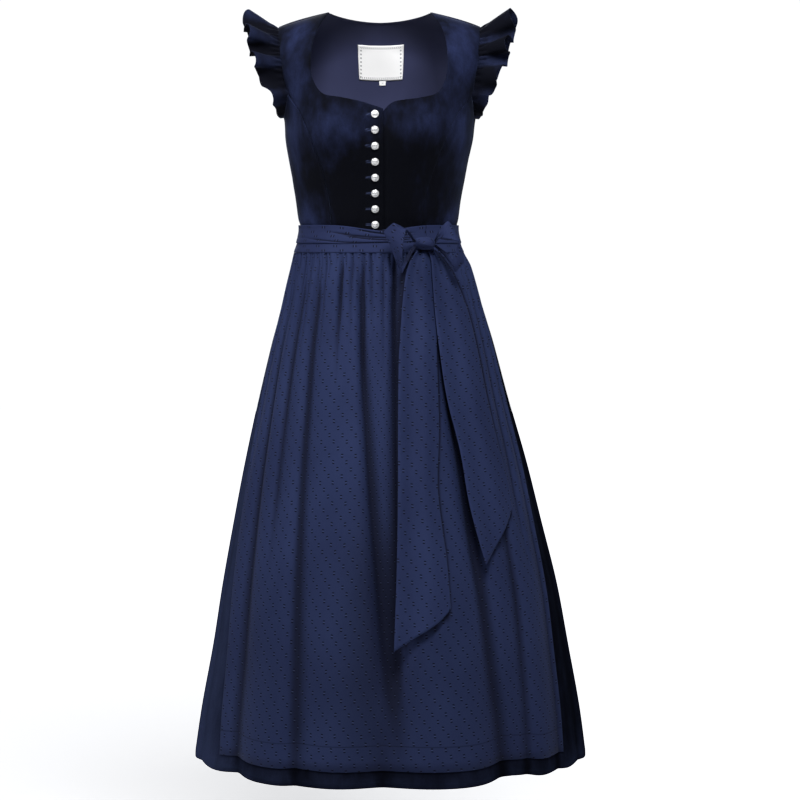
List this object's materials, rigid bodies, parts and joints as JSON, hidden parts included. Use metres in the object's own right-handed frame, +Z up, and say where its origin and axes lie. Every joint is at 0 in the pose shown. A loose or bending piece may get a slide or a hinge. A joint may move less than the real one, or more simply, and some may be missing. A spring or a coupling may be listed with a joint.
{
  "type": "dirndl",
  "caption": "Worn dirndl: dark blue velvet bodice with ruffled armholes, gathered skirt and dotted apron tied in a bow.",
  "frame": {"origin": "midpoint of the shoulder line, between the two points where the neck opening meets the shoulder seams", "axes": "+Z up along the body, -Y out of the front, +X towards the viewer's right, which is the wearer's left"},
  "size_m": [0.629, 0.5886, 1.1875],
  "materials": {
    "velvet_bodice": "crushed velvet",
    "velvet_skirt": "velvet",
    "dotted_cotton": "matte cotton",
    "label_cloth": "woven satin",
    "silver_button": "polished"
  },
  "bodies": {
    "root": {"front_left": "velvet_bodice", "side_front_left": "velvet_bodice", "side_back_left": "velvet_bodice", "ruffle_left": "velvet_bodice", "front_right": "velvet_bodice", "side_front_right": "velvet_bodice", "side_back_right": "velvet_bodice", "ruffle_right": "velvet_bodice", "centre_back": "velvet_bodice", "label": "label_cloth", "label_tab": "label_cloth", "button_1": "silver_button", "button_2": "silver_button", "button_3": "silver_button", "button_4": "silver_button", "button_5": "silver_button", "button_6": "silver_button", "button_7": "silver_button", "button_8": "silver_button", "skirt_front": "velvet_skirt", "skirt_back": "velvet_skirt", "apron_panel": "dotted_cotton", "apron_waistband": "dotted_cotton", "tie_back": "dotted_cotton", "tie_wrap": "dotted_cotton", "bow_knot": "dotted_cotton", "bow_loop_left": "dotted_cotton", "bow_tail_left": "dotted_cotton", "bow_loop_right": "dotted_cotton", "bow_tail_right": "dotted_cotton"}
  },
  "joints": []
}
